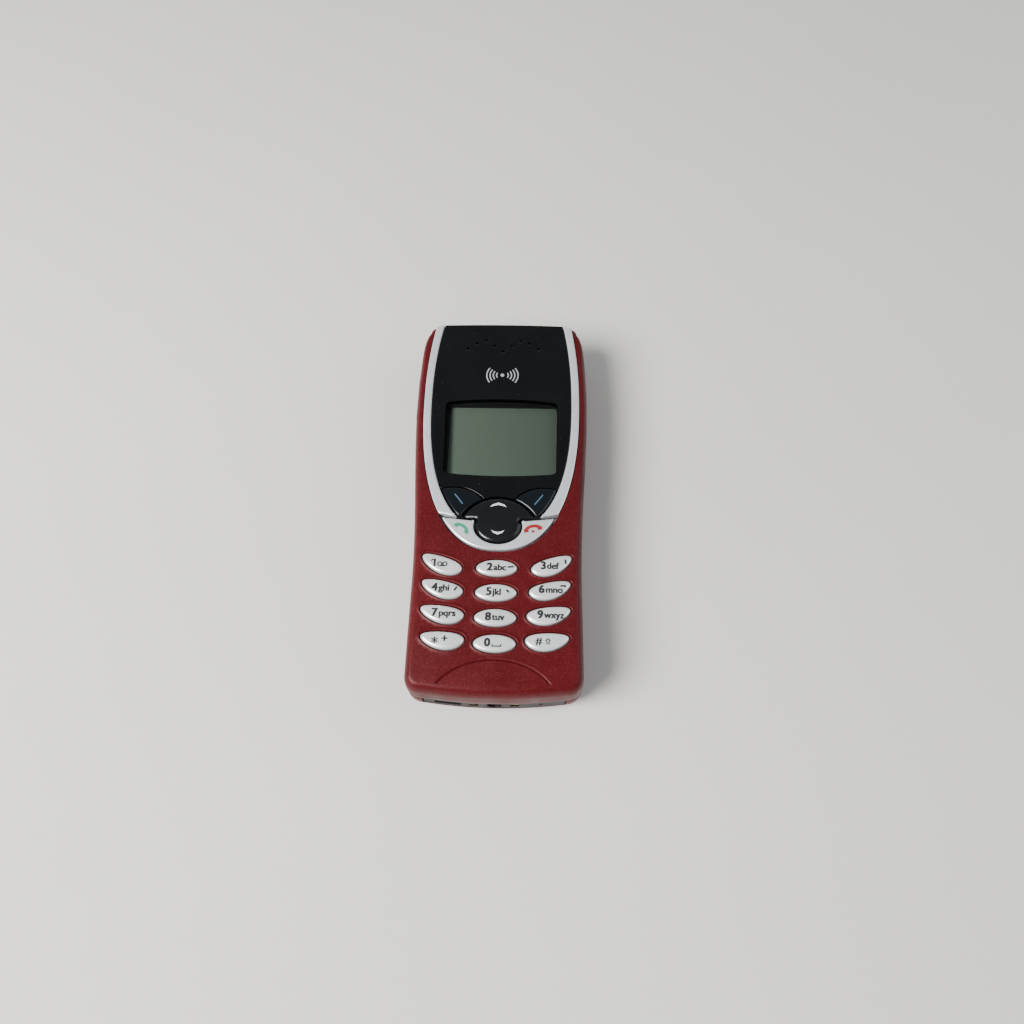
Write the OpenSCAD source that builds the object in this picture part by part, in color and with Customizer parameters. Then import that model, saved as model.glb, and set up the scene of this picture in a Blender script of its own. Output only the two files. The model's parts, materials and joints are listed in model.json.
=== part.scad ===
// Compact mobile phone of the late 1990s: clip-on front cover, rubber-mat keypad with loose
// key caps, glossy display window between two silver trims, slide-off back cover.
// Frame: X across, Y towards the earpiece, Z up out of the display, back face on Z = 0.

/* [Body] */
// Overall length
body_length = 101.5; // [100.5:0.5:103]
// Widest width, beside the display
body_width = 44.5; // [44:0.25:45.5]
// Width beside the number keys
waist_width = 39.8; // [39.5:0.1:40.5]
// Height of the front face at its middle
face_height = 16.6; // [16.4:0.1:16.8]
// Height of the seam between the front and back covers
split_height = 8.6; // [8.4:0.1:8.8]
// Wall of both covers
cover_wall = 1.3; // [1.1:0.1:1.4]

/* [Front] */
// Half-width of the opening that the silver trims line
trim_outer = 20; // [19.8:0.1:20.1]
// Half-width of the glossy window between the trims
trim_inner = 18; // [17.8:0.1:18.1]
// Thickness of the clear window
window_thick = 1.4; // [1:0.1:1.4]
// Gap round a number key
key_gap = 0.22; // [0.15:0.01:0.25]
// Height of a number key above the face
key_rise = 0.55; // [0.4:0.05:0.6]

/* [Travel] */
// How far a key cap is pressed
key_travel = 0.45; // [0.3:0.05:0.5]

/* [Connectors] */
// Radius of the round charging socket
charger_r = 1.75; // [1.7:0.01:1.8]
// Depth of the round charging socket
charger_depth = 6; // [5:0.5:7]

/* [Hidden] */
$fn = 48;
half_length = body_length / 2;
wide_y = 28;                 // where the body is widest
waist_y = -24;               // where it has come in to its waist
top_inset = 1.15;            // how much narrower the body gets, a side, from its widest to the top
head_pinch = 2.4;              // how much more it narrows over the last millimetres
foot_radius = 117;           // bow of the bottom edge
head_radius = 450;           // bow of the top edge
foot_corner = 3.6;
head_corner = 2;
side_fall = 0.55;            // how far the face drops at 20 mm off the middle
head_fall = 0.9;             // how far it drops at the top edge
foot_fall = 0.6;             // how far it drops at the bottom edge
foot_fall_y = -36;
eps = 0.01;
lens_bottom = 0.1 - window_thick;     // below the front face
mask_bottom = lens_bottom - 0.2;

// Outlines of the opening and the window: a superellipse below wide_y, a parabola above.
opening_reach = 45;
opening_power = 2.42;
opening_taper = 1.7;
window_reach = 40;
window_power = 2.5;
window_taper = 1.85;

// Levels of the stack, from the back
battery_z = 1.6;
battery_top = 6;
frame_z = 6.6;
frame_top = 7.8;
board_z = 8.9;
board_top = 9.9;
ui_z = 11.4;
ui_top = 12.2;
dome_top = 12.35;
mat_top = 12.9;
key_base = 14;
flange_top = 14.5;
rib_y = 1.5;                 // lower edge of the display carrier

// Navigation keys: three circles and an ellipse set their edges
scroll_y = -13.04;
scroll_r = 10.07;
soft_x = 11;
soft_y = -9.85;
soft_r = 9.65;
lobe_y = -10.45;
lobe_a = 5.8;
lobe_b = 4.75;
nav_gap = 0.3;

// Key rows: outer tip, inner end (of the right column) and the middle key's centre
KEY_ROWS = [
    [[17.3, -18.1], [8.0, -21.7], -21.2],
    [[17.0, -24.6], [7.5, -27.2], -27.2],
    [[16.9, -31.0], [7.0, -32.8], -33.15],
    [[16.5, -37.5], [6.7, -38.4], -39.1]
];
KEY_NAMES = [
    ["key_1", "key_2", "key_3"],
    ["key_4", "key_5", "key_6"],
    ["key_7", "key_8", "key_9"],
    ["key_star", "key_0", "key_hash"]
];
key_depth = 4.0;             // size of a number key from top to bottom
key_sag = 0.6;               // how far an outer key bows towards the foot
key_half = 4.75;             // half the width of a middle key

SCREWS = [for (x = [-16.3, 16.3], y = [32, -13, -40.2]) [x, y]];
EAR_HOLES = [[0, 41.2], [2.3, 43.1], [4.6, 45], [7, 44], [9.4, 42.2]];
ear_y = 43;                  // middle of the earpiece
ear_r = 4.5;
battery_size = [32, 52, battery_top - battery_z];
battery_y = -14;
contact_x = [-6, 0, 6];      // battery contacts
catch_y = 18;                // cover catch
catch_size = [8.7, 4.7];
catch_flange_size = [10.4, 6.4];
catch_step = 0.74;           // height of the flange above the back face
charger_z = 6.2;
charger_pads_x = 4.6;
microphone_x = 10.5;
power_z = 12.1;
power_size = [8.4, 2.2];
power_flange = 0.5;
volume_size = [12, 2.8];
volume_z = 10.1;
end_slot_half = 18.2;        // half-width of the slot in the head for the dark end window
motor_y = 43.3;
motor_z = 11.8;
motor_r = 1.9;
lcd_half = 14.9;             // half-width of the display glass
lcd_y = [1.9, 27.6];
shield_wall = 0.2;
sim_x = 9;

// ---------------------------------------------------------------- shape functions

function smooth(t) = let(u = min(1, max(0, t))) u * u * (3 - 2 * u);

// Half-width of the body at height y up its length
function body_half(y) = y > wide_y
    ? let(u = (y - wide_y) / (half_length - wide_y))
        body_width / 2 - top_inset * pow(u, 2) - head_pinch * pow(u, 6)
    : waist_width / 2 + (body_width - waist_width) / 2 * smooth((y - waist_y) / (wide_y - waist_y));

// Half-width of the opening or the window at y
function taper_half(y, wide, taper, reach, power) = y > wide_y
    ? wide - taper * pow((y - wide_y) / (half_length - wide_y), 2)
    : wide * pow(max(0, 1 - pow((wide_y - y) / reach, power)), 1 / power);
function opening_half(y) = taper_half(y, trim_outer, opening_taper, opening_reach, opening_power);
function window_half(y) = taper_half(y, trim_inner, window_taper, window_reach, window_power);

// Height of the front face
function crown(x, y) = face_height - side_fall * pow(x / 20, 2)
    - (y > wide_y ? head_fall * pow((y - wide_y) / (half_length - wide_y), 2) : 0)
    - (y < foot_fall_y ? foot_fall * pow((foot_fall_y - y) / (half_length + foot_fall_y), 2) : 0);

function foot_edge(x) = -half_length + x * x / (2 * foot_radius);
function head_edge(x) = half_length - x * x / (2 * head_radius);
function arc(cx, cy, r, from, to, n) =
    [for (i = [0:n]) let(a = from + (to - from) * i / n) [cx + r * cos(a), cy + r * sin(a)]];
function mirrored(half) =
    concat(half, [for (i = [len(half) - 1:-1:0]) if (half[i][0] > eps) [-half[i][0], half[i][1]]]);

// Right half of the body outline, from the bottom middle to the top middle
function body_side(inset = 0) =
    let(rf = max(0.8, foot_corner - inset), rh = max(0.8, head_corner - inset * 0.8),
        fx = body_half(-half_length) - inset - rf, fy = foot_edge(fx) + inset + rf,
        hx = body_half(half_length - inset - rh) - inset - rh, hy = head_edge(hx) - inset - rh)
    concat(
        [for (i = [0:4]) let(x = fx * i / 5) [x, foot_edge(x) + inset]],
        arc(fx, fy, rf, -82, 0, 6),
        [for (i = [1:15]) let(y = fy + (hy - fy) * i / 16) [body_half(y) - inset, y]],
        arc(hx, hy, rh, 0, 87, 6),
        [for (i = [3:-1:0]) let(x = hx * i / 4) [x, head_edge(x) - inset]]);
function body_outline(inset = 0) = mirrored(body_side(inset));

// Closed U-shaped outline of the opening (grow > 0) or of anything inside it (grow < 0)
function u_side(wide, taper, reach, power, grow, top) =
    concat(
        [for (i = [0:11]) let(a = 90 * i / 12, y = wide_y - (reach + grow) * cos(a),
                x = (wide + grow) * pow(max(0, 1 - pow(cos(a), power)), 1 / power)) [x, y]],
        [for (i = [0:6]) let(y = wide_y + (top - wide_y) * i / 6)
            [wide + grow - taper * pow((y - wide_y) / (half_length - wide_y), 2), y]],
        [[0, top]]);
function opening_outline(grow, top = half_length) =
    mirrored(u_side(trim_outer, opening_taper, opening_reach, opening_power, grow, top));
function window_outline(grow, top = half_length) =
    mirrored(u_side(trim_inner, window_taper, window_reach, window_power, grow, top));

// Ellipse-like key outline between two ends; the tip end is the narrower one
function key_outline(tip, end, sag, grow) =
    let(mid = (tip + end) / 2, along = (end - tip) / 2, a = norm(along) + grow,
        u = along / norm(along), v = [-u[1], u[0]], s = u[0] < 0 ? 1 : -1, b = key_depth / 2 + grow)
    [for (i = [0:35]) let(t = i * 10, c = cos(t), w = b * sin(t) * (1 + 0.14 * c),
            q = s * sag * (1 - c * c))
        mid + u * (a * c) + v * (w + q)];

function row_tip(r) = KEY_ROWS[r][0];
function row_end(r) = KEY_ROWS[r][1];
// Outline of the key in row r and column c (0, 1, 2 from the left)
function number_key(r, c, grow = 0) = c == 1
    ? let(y = KEY_ROWS[r][2])
        [for (i = [0:35]) [(key_half + grow) * cos(i * 10), y + (key_depth / 2 + grow) * sin(i * 10)]]
    : let(m = c - 1, tip = row_tip(r), end = row_end(r))
        [for (p = key_outline(tip, end, key_sag, grow)) [m * p[0], p[1]]];
function key_centre(r, c) = c == 1
    ? [0, KEY_ROWS[r][2]]
    : [(c - 1) * (row_tip(r)[0] + row_end(r)[0]) / 2, (row_tip(r)[1] + row_end(r)[1]) / 2 - key_sag / 2];

function ellipse(cx, cy, a, b) = [for (i = [0:47]) [cx + a * cos(i * 7.5), cy + b * sin(i * 7.5)]];

// ---------------------------------------------------------------- shared forms

// Everything under the front face moved by lift, down to floor
module under_face(lift, floor) {
    nx = 8;
    ny = 21;
    sx = 23.5;
    sy = half_length + 1;
    function gx(i) = -sx + 2 * sx * i / nx;
    function gy(j) = -sy + 2 * sy * j / ny;
    top = [for (j = [0:ny], i = [0:nx]) [gx(i), gy(j), crown(gx(i), gy(j)) + lift]];
    corners = [[-sx, -sy, floor], [sx, -sy, floor], [sx, sy, floor], [-sx, sy, floor]];
    n = len(top);
    function at(i, j) = j * (nx + 1) + i;
    polyhedron(points = concat(top, corners), faces = concat(
        [for (j = [0:ny - 1], i = [0:nx - 1]) [at(i, j), at(i + 1, j + 1), at(i + 1, j)]],
        [for (j = [0:ny - 1], i = [0:nx - 1]) [at(i, j), at(i, j + 1), at(i + 1, j + 1)]],
        [[n, n + 1, n + 2, n + 3]],
        [concat([for (i = [0:nx]) at(i, 0)], [n + 1, n])],
        [concat([for (i = [nx:-1:0]) at(i, ny)], [n + 3, n + 2])],
        [concat([for (j = [0:ny]) at(nx, j)], [n + 2, n + 1])],
        [concat([for (j = [ny:-1:0]) at(0, j)], [n, n + 3])]));
}

// Prism of the body outline whose inset changes with height: rings are [height, inset]
module ringed(rings) {
    outlines = [for (r = rings) [for (p = body_outline(r[1])) [p[0], p[1], r[0]]]];
    m = len(outlines[0]);
    points = [for (o = outlines, p = o) p];
    polyhedron(points = points, faces = concat(
        [[for (i = [0:m - 1]) i]],
        [[for (i = [m - 1:-1:0]) (len(rings) - 1) * m + i]],
        [for (k = [0:len(rings) - 2], i = [0:m - 1])
            [k * m + i, (k + 1) * m + i, (k + 1) * m + (i + 1) % m]],
        [for (k = [0:len(rings) - 2], i = [0:m - 1])
            [k * m + i, (k + 1) * m + (i + 1) % m, k * m + (i + 1) % m]]));
}

module prism(points, from, to) {
    translate([0, 0, from]) linear_extrude(to - from) polygon(points);
}

// A block given by its lowest and highest corners
module block(a, b) {
    translate(a) cube(b - a);
}

module rod(at, r, height) {
    translate(at) cylinder(r = r, h = height);
}

// Upright bar with round ends, long along X
module stadium(at, length, width, height) {
    translate(at) linear_extrude(height) union() {
        square([length - width, width], center = true);
        for (s = [-1, 1]) translate([s * (length - width) / 2, 0]) circle(d = width);
    }
}

// ---------------------------------------------------------------- front

FRONT_RINGS = [[split_height, 0.12], [10.2, 0], [12.6, 0.1], [14, 0.4], [15, 0.85], [15.8, 1.5], [18, 2.5]];

module front_cover() color([0.47, 0.12, 0.14]) {
    rim_wall = 1.8;          // inset of the cavity just under the rounded edge
    slot_gap = 0.3;
    difference() {
        intersection() {
            under_face(0, split_height);
            ringed(FRONT_RINGS);
        }
        intersection() {
            under_face(-cover_wall, 0);
            union() {
                prism(body_outline(cover_wall), 0, 13.2);
                prism(body_outline(rim_wall), 13, 20);
            }
        }
        prism(opening_outline(0.15, half_length + 1), 13, 20);
        for (r = [0:3], c = [0:2]) prism(number_key(r, c, key_gap), 11, 20);
        block([-end_slot_half, half_length - 3, 10.6], [end_slot_half, half_length + 1, 20]);
        block([-25, wide_y - volume_size[0] / 2 - slot_gap, volume_z - slot_gap],
            [-20, wide_y + volume_size[0] / 2 + slot_gap, volume_z + volume_size[1] + slot_gap]);
        foot_groove();
    }
}

// Bowed groove that marks off the foot of the front face
module foot_groove() {
    centre_y = -53;
    radii = [14.3, 10.4];
    width = 0.3;
    depth_z = 15.9;
    difference() {
        prism(ellipse(0, centre_y, radii[0], radii[1]), depth_z, 20);
        prism(ellipse(0, centre_y, radii[0] - width, radii[1] - width), 10, 21);
        block([-30, -60, 10], [30, -49.2, 21]);
    }
}

// Silver strip between the opening and the window, on the side sign (-1 left, 1 right)
module side_trim(sign) {
    foot = [[9, -8.42], [14.6, -7.3]];      // slanted lower end
    color([0.78, 0.79, 0.81]) mirror([sign < 0 ? 1 : 0, 0, 0]) {
        intersection() {
            difference() {
                under_face(0.1, 12);
                under_face(mask_bottom, 11);
                prism(window_outline(0, half_length + 2), 10, 20);
            }
            prism(opening_outline(-0.05, half_length - 0.05), 10, 20);
            prism(body_outline(0.1), 10, 20);
            prism(concat(foot, [[25, foot[1][1]], [25, 60], [foot[0][0], 60]]), 10, 20);
        }
        // end tab over the top edge
        block([16.3, half_length - 1.5, 10.8], [17.5, half_length - 0.6, 14]);
    }
}

module window_profile(grow) {
    difference() {
        polygon(window_outline(-0.15 + grow, half_length - 0.05));
        translate([0, scroll_y]) circle(r = scroll_r + nav_gap - grow, $fn = 96);
        for (s = [-1, 1]) translate([s * soft_x, soft_y]) circle(r = soft_r + 0.25 - grow, $fn = 96);
        translate([-20, -30 + scroll_y + 6]) square([40, 30]);
    }
}

module ear_holes() {
    hole_r = 0.35;
    for (p = EAR_HOLES, s = [-1, 1])
        if (s > 0 || p[0] > 0) rod([s * p[0], p[1], 10], hole_r, 10);
}

module window_lens() color([0.75, 0.8, 0.78, 0.35]) {
    difference() {
        intersection() {
            under_face(0.1, 10);
            translate([0, 0, 11]) linear_extrude(8) window_profile(0);
        }
        under_face(lens_bottom, 9);
        ear_holes();
    }
}

// Sides of the display's view: slightly narrower towards the foot, with round corners
function view_outline(grow) = mirrored(concat(
    [for (i = [0:3]) let(x = 12.6 * i / 3) [x, 2.95 - grow + 0.0045 * x * x]],
    arc(12.7, 4.9, 1.2 + grow, -80, -5, 4),
    [[14.3 + grow, 13.5]],
    arc(13.1, 23.6, 1.2 + grow, 0, 80, 4),
    [for (i = [3:-1:0]) let(x = 12.9 * i / 3) [x, 25.55 + grow - 0.0042 * x * x]]));

module window_mask() color([0.05, 0.05, 0.055]) {
    difference() {
        intersection() {
            under_face(lens_bottom, 10);
            translate([0, 0, 11]) linear_extrude(8) window_profile(-0.05);
        }
        under_face(mask_bottom, 9);
        prism(view_outline(0), 9, 20);
        ear_holes();
    }
}

module soft_key(sign) {
    color([0.07, 0.08, 0.1]) mirror([sign < 0 ? 1 : 0, 0, 0]) intersection() {
        under_face(0.15, key_base);
        translate([0, 0, key_base]) linear_extrude(5) difference() {
            intersection() {
                polygon(window_outline(-0.45));
                translate([soft_x, soft_y]) circle(r = soft_r, $fn = 96);
                translate([0, -8.3]) square([20, 20]);
            }
            translate([0, scroll_y]) circle(r = scroll_r + nav_gap, $fn = 96);
        }
    }
}

module scroll_key() color([0.06, 0.065, 0.075]) {
    top = face_height + 0.8;
    dome = 34;
    bar = [17.4, 8];         // bar across the lobe, between the soft keys
    bar_y = -8.55;
    notch = [5.6, -9.15];    // centre of the round notch where the bar meets the lobe
    notch_r = 0.62;
    intersection() {
        translate([0, 0, key_base]) linear_extrude(5) difference() {
            union() {
                intersection() {
                    translate([0, scroll_y]) circle(r = scroll_r - 0.05, $fn = 96);
                    translate([-bar[0] / 2, bar_y]) square(bar);
                }
                polygon(ellipse(0, lobe_y, lobe_a - 0.4, lobe_b - 0.4));
            }
            for (s = [-1, 1]) translate([s * notch[0], notch[1]]) circle(r = notch_r);
        }
        translate([0, -9, top - dome]) sphere(r = dome, $fn = 128);
    }
}

module call_end_key() color([0.84, 0.85, 0.87]) {
    // right half of the upper edge
    edge = [[5.2, -9.25], [9.7, -8.8], [13.4, -8.35], [25, -6], [25, 60]];
    intersection() {
        under_face(0.3, key_base);
        translate([0, 0, key_base]) linear_extrude(5) difference() {
            polygon(opening_outline(-0.3));
            polygon(ellipse(0, lobe_y, lobe_a, lobe_b));
            polygon(mirrored(edge));
        }
    }
}

module number_key_cap(r, c) color([0.84, 0.86, 0.87]) {
    dome = 28;
    flange = 0.75;           // how far the flange reaches under the cover
    p = key_centre(r, c);
    intersection() {
        union() {
            prism(number_key(r, c), key_base, 19);
            prism(number_key(r, c, flange), key_base, flange_top);
        }
        translate([p[0], p[1], crown(p[0], p[1]) + key_rise - dome]) sphere(r = dome, $fn = 128);
    }
}

// ---------------------------------------------------------------- keypad stack

// Places where the mat and the domes act on a key cap
PRESS_POINTS = concat(
    [for (r = [0:3], c = [0:2]) key_centre(r, c)],
    [[-9.6, -4.3], [9.6, -4.3], [0, -5.6], [0, -13], [-9.5, -11], [9.5, -11]]);

module keypad_outline(inset) {
    difference() {
        polygon(body_outline(inset));
        translate([-30, rib_y - 1]) square([60, 80]);
        for (p = SCREWS) translate(p) circle(r = 1.8);
    }
}

module keypad_mat() color([0.72, 0.74, 0.76]) {
    boss_r = 1.3;
    translate([0, 0, dome_top]) linear_extrude(mat_top - dome_top) keypad_outline(2.6);
    for (p = PRESS_POINTS) rod([p[0], p[1], dome_top], boss_r, key_base - dome_top);
}

module dome_sheet() color([0.8, 0.78, 0.7]) {
    translate([0, 0, ui_top]) linear_extrude(dome_top - ui_top) keypad_outline(3);
}

module power_key() color([0.1, 0.1, 0.11]) {
    button = 1.5;            // how deep the button is, up to its flange
    translate([0, half_length - 0.1, power_z]) rotate([90, 0, 0])
        stadium([0, 0, 0], power_size[0], power_size[1], button);
    translate([0, half_length - 0.1 - button, power_z]) rotate([90, 0, 0])
        stadium([0, 0, 0], power_size[0] + 1, power_size[1] + 0.6, power_flange);
}

module infrared_window() color([0.09, 0.03, 0.05]) {
    half = 16.2;
    gap = 0.15;              // round the power key
    difference() {
        intersection() {
            block([-half, half_length - 1.5, 10.7], [half, half_length - 0.2, 13.5]);
            prism(body_outline(0.2), 9, 20);
        }
        translate([0, half_length + 1, power_z]) rotate([90, 0, 0])
            stadium([0, 0, 0], power_size[0] + 2 * gap, power_size[1] + 2 * gap, 4);
    }
}

module volume_key() color([0.5, 0.13, 0.15]) {
    x = -body_half(wide_y);
    reach = volume_size[0] / 2;
    top = volume_z + volume_size[1];
    rib = 0.5;               // the inner rib is smaller than the pad all round
    block([x + 0.05, wide_y - reach, volume_z], [x + 1.2, wide_y + reach, top]);
    block([x + 1.2, wide_y - reach + 2 * rib, volume_z + rib],
        [x + 1.6, wide_y + reach - 2 * rib, top - rib]);
}

// ---------------------------------------------------------------- display

module display_carrier() color([0.75, 0.76, 0.78]) {
    roof = 0.8;
    difference() {
        intersection() {
            under_face(mask_bottom, ui_top);
            prism(opening_outline(-1.2, half_length - 2.9), 9, 20);
            block([-25, rib_y, 9], [25, 60, 20]);
        }
        intersection() {
            under_face(mask_bottom - roof, 9);
            prism(opening_outline(-2.2, half_length - 3.9), 9, 20);
        }
        prism(view_outline(0.9), 9, 20);
        // room for the display's bezel, the earpiece and the motor
        block([-lcd_half - 0.9, 1, 9], [lcd_half + 0.9, 28.6, 13.95]);
        rod([0, ear_y, 8], ear_r + 0.1, 12);
        block([6.5, motor_y - motor_r - 0.5, 8], [20, motor_y + motor_r + 0.5, 20]);
        for (p = SCREWS) rod([p[0], p[1], 8], 1.5, 12);
    }
}

module lcd_panel() color([0.36, 0.42, 0.37]) {
    block([-lcd_half, lcd_y[0], 12.7], [lcd_half, lcd_y[1], 13.55]);
}

module lcd_bezel() color([0.2, 0.2, 0.2]) {
    gap = 0.1;
    wall = 0.5;
    outer = gap + wall;
    difference() {
        block([-lcd_half - outer, lcd_y[0] - outer, ui_top], [lcd_half + outer, lcd_y[1] + outer, 13.85]);
        block([-lcd_half - gap, lcd_y[0] - gap, 10], [lcd_half + gap, lcd_y[1] + gap, 13.6]);
        block([-13.2, 3.6, 10], [14.5, 24.9, 20]);
    }
}

module light_guide() color([0.9, 0.93, 0.9]) {
    block([-lcd_half, lcd_y[0], ui_top], [lcd_half, lcd_y[1], 12.7]);
}

// ---------------------------------------------------------------- boards

module screw_holes(r) {
    for (p = SCREWS) translate(p) circle(r = r);
}

module ui_board() color([0.12, 0.36, 0.2]) {
    translate([0, 0, ui_z]) linear_extrude(ui_top - ui_z) difference() {
        polygon(body_outline(2.2));
        translate([-30, 36]) square([60, 30]);
        screw_holes(0.9);
    }
}

module main_board() color([0.1, 0.32, 0.18]) {
    translate([0, 0, board_z]) linear_extrude(board_top - board_z) difference() {
        polygon(body_outline(2.1));
        screw_holes(0.9);
    }
}

// Folded metal lid over part of a board, open on the board's side
module shield_can(a, b) {
    below = a[2] < board_z;
    difference() {
        block(a, b);
        block(a + shield_wall * [1, 1, 1] - (below ? [0, 0, 0] : [0, 0, 1]),
            b - shield_wall * [1, 1, 1] + (below ? [0, 0, 1] : [0, 0, 0]));
    }
}

module front_shield() color([0.8, 0.8, 0.79]) {
    shield_can([-14, -30, board_top], [14, 2, ui_z]);
    shield_can([-14, 6, board_top], [14, 30, ui_z]);
}

module rear_shield() color([0.78, 0.78, 0.77]) {
    shield_can([-15, -12, 7.95], [15, 10.5, board_z]);
}

module earpiece() color([0.35, 0.35, 0.37]) {
    height = 3.3;
    step = 0.4;
    port_r = 1.2;
    difference() {
        union() {
            rod([0, ear_y, board_top], ear_r, height - step);
            rod([0, ear_y, board_top], ear_r - 0.5, height);
        }
        rod([0, ear_y, board_top + height - 0.5], port_r, 1);
    }
}

module earpiece_gasket() color([0.12, 0.12, 0.12]) {
    radius = ear_r - 0.5;
    difference() {
        rod([0, ear_y, 13.2], radius, 0.8);
        rod([0, ear_y, 13], radius - 0.8, 2);
    }
}

module buzzer() color([0.15, 0.15, 0.16]) {
    at = [-12, 43, board_top];
    height = 2.3;
    difference() {
        rod(at, 4, height);
        rod(at + [0, 0, height - 0.7], 0.8, 2);
    }
}

module vibra_motor() color([0.75, 0.75, 0.76]) {
    translate([7.2, motor_y, motor_z]) rotate([0, 90, 0]) cylinder(r = motor_r, h = 7);
}

// Half-round weight on the motor's shaft
module vibra_weight() color([0.6, 0.58, 0.5]) {
    shaft_r = 0.4;
    weight_r = motor_r - 0.2;
    translate([14.3, motor_y, motor_z]) rotate([0, 90, 0]) {
        cylinder(r = shaft_r, h = 3);
        translate([0, 0, 0.5]) intersection() {
            cylinder(r = weight_r, h = 2.5);
            translate([-shaft_r, -2, -1]) cube([4, 4, 5]);
        }
    }
}

module microphone() color([0.7, 0.65, 0.4]) {
    translate([microphone_x, -half_length + 3.4, charger_z]) rotate([90, 0, 0]) cylinder(r = 1.5, h = 1.3);
}

// ---------------------------------------------------------------- back

module rear_frame() color([0.32, 0.33, 0.35]) {
    plate = [[-18, -41.9], [18, 48]];
    boss_r = 1.6;
    pilot_r = 0.6;
    difference() {
        union() {
            block([plate[0][0], plate[0][1], frame_z], [plate[1][0], plate[1][1], frame_top]);
            for (p = SCREWS) rod([p[0], p[1], frame_z], boss_r, board_z - frame_z);
        }
        for (p = SCREWS) rod([p[0], p[1], frame_z + 0.4], pilot_r, 6);
        // windows for the card and for the battery contacts
        block([-8, -38.5, 5], [8, -12.5, 10]);
        block([-10, 11.2, 5], [10, 16.4, 10]);
    }
}

// One thread-forming screw under each corner of the keypad board and the display
module chassis_screws() color([0.55, 0.55, 0.58]) {
    shank_r = 0.58;
    head_r = 1.1;
    head_height = 0.6;
    socket_r = 0.5;
    for (p = SCREWS) difference() {
        union() {
            rod([p[0], p[1], frame_z + 0.5], shank_r, ui_top - frame_z - 0.4);
            rod([p[0], p[1], ui_top], head_r, head_height);
        }
        rod([p[0], p[1], ui_top + 0.25], socket_r, 1);
    }
}

module antenna_carrier() color([0.13, 0.13, 0.14]) {
    half = 17.6;
    side_view = [[13.4, 1.75], [48.6, 1.75], [49.9, 2.6], [50.35, 3.8], [50.35, 8.4],
        [49.15, 8.4], [49.15, 6.4], [13.4, 6.4]];
    wall = 1.2;
    difference() {
        // the tall end closes the phone between the two covers
        translate([-half, 0, 0]) rotate([90, 0, 90]) linear_extrude(2 * half) polygon(side_view);
        block([-half + wall, 13.4 + wall, 2.9], [half - wall, half_length - 2.8, 7]);
        stadium([0, catch_y, 1], catch_size[0] + 2.7, catch_size[1] + 2.7, 1.5);
    }
}

module antenna_plate() color([0.8, 0.68, 0.35]) {
    slit = 2;                // two slits from opposite sides leave a folded strip
    difference() {
        block([-15, 24, 1.5], [15, 46.4, 1.75]);
        block([-9, 29, 1], [16, 29 + slit, 2]);
        block([-16, 38, 1], [9, 38 + slit, 2]);
    }
}

module battery() color([0.8, 0.81, 0.83]) {
    s = battery_size;
    translate([0, battery_y, battery_z]) linear_extrude(s[2]) difference() {
        square([s[0], s[1]], center = true);
        for (x = contact_x) translate([x, s[1] / 2]) square([2.4, 1], center = true);
    }
}

module battery_contacts() color([0.85, 0.7, 0.35]) {
    end_y = battery_y + battery_size[1] / 2;
    half = 0.8;
    for (x = contact_x) {
        block([x - half, end_y - 0.45, 3], [x + half, end_y + 0.2, 5]);
        block([x - half, end_y - 0.1, 5], [x + half, end_y + 0.3, frame_top]);
    }
    block([-9, end_y - 0.1, frame_top], [9, 16.2, board_z]);
}

module sim_holder() color([0.8, 0.8, 0.8]) {
    difference() {
        block([-sim_x, -39.5, 6.25], [sim_x, -11.5, frame_z]);
        for (y = [-36, -24]) block([-6, y, 6], [6, y + 9, 7]);
    }
}

module sim_card() color([0.92, 0.92, 0.9]) {
    half = 7.5;
    corner = 3;
    thickness = 0.76;
    prism([[-half, -38], [half, -38], [half, -13], [corner - half, -13], [-half, -13 - corner]],
        frame_z, frame_z + thickness);
}

// ---------------------------------------------------------------- foot

module bottom_connector() color([0.06, 0.06, 0.065]) {
    front = -half_length - 1;
    contact_r = 1.25;        // seat of the charging contact
    port_r = 0.5;            // microphone port
    slot_z = [5.2, 7.2];
    difference() {
        intersection() {
            block([-16, front, 3.9], [16, -42, 8.5]);
            prism(body_outline(0.35), 0, 20);
        }
        translate([0, front, charger_z]) rotate([-90, 0, 0])
            cylinder(r = charger_r, h = charger_depth + 1.35);
        translate([0, front + 1, charger_z]) rotate([-90, 0, 0]) cylinder(r = contact_r, h = 20);
        block([-13.5, front, slot_z[0]], [-7.5, -half_length + 2.4, slot_z[1]]);
        translate([microphone_x, front, charger_z]) rotate([-90, 0, 0]) cylinder(r = port_r, h = 5);
        translate([microphone_x, front + 3, charger_z]) rotate([-90, 0, 0]) cylinder(r = 1.7, h = 12);
        for (x = charger_pads_x * [-1, 1])
            block([x - 1, front, slot_z[0]], [x + 1, -half_length + 1.6, slot_z[1]]);
    }
}

// Contact at the bottom of the charging socket
module charging_jack() color([0.8, 0.75, 0.55]) {
    translate([0, -42, charger_z]) rotate([90, 0, 0])
        cylinder(r = 1.2, h = half_length - 42.5 - charger_depth);
}

module charging_pads() color([0.85, 0.7, 0.35]) {
    half = 0.9;
    for (x = charger_pads_x * [-1, 1])
        block([x - half, -half_length + 0.7, 5.3], [x + half, -half_length + 1.6, 7.1]);
}

module accessory_contacts() color([0.85, 0.7, 0.35]) {
    pitch = 1.4;
    width = 0.6;
    for (x = [-13:pitch:-8.6])
        block([x, -half_length + 1.4, 5.2], [x + width, -half_length + 2.4, 6.1]);
}

BACK_RINGS = [[0, 4.4], [0.25, 3], [0.8, 1.9], [1.7, 1], [3.2, 0.35], [5.5, 0.02],
    [split_height - 0.15, 0.12]];
CAVITY_RINGS = [[cover_wall, 4.9], [1.6, 3.6], [2.4, 2.5], [3.6, 1.8], [5.5, 1.4], [20, 1.4]];

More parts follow.
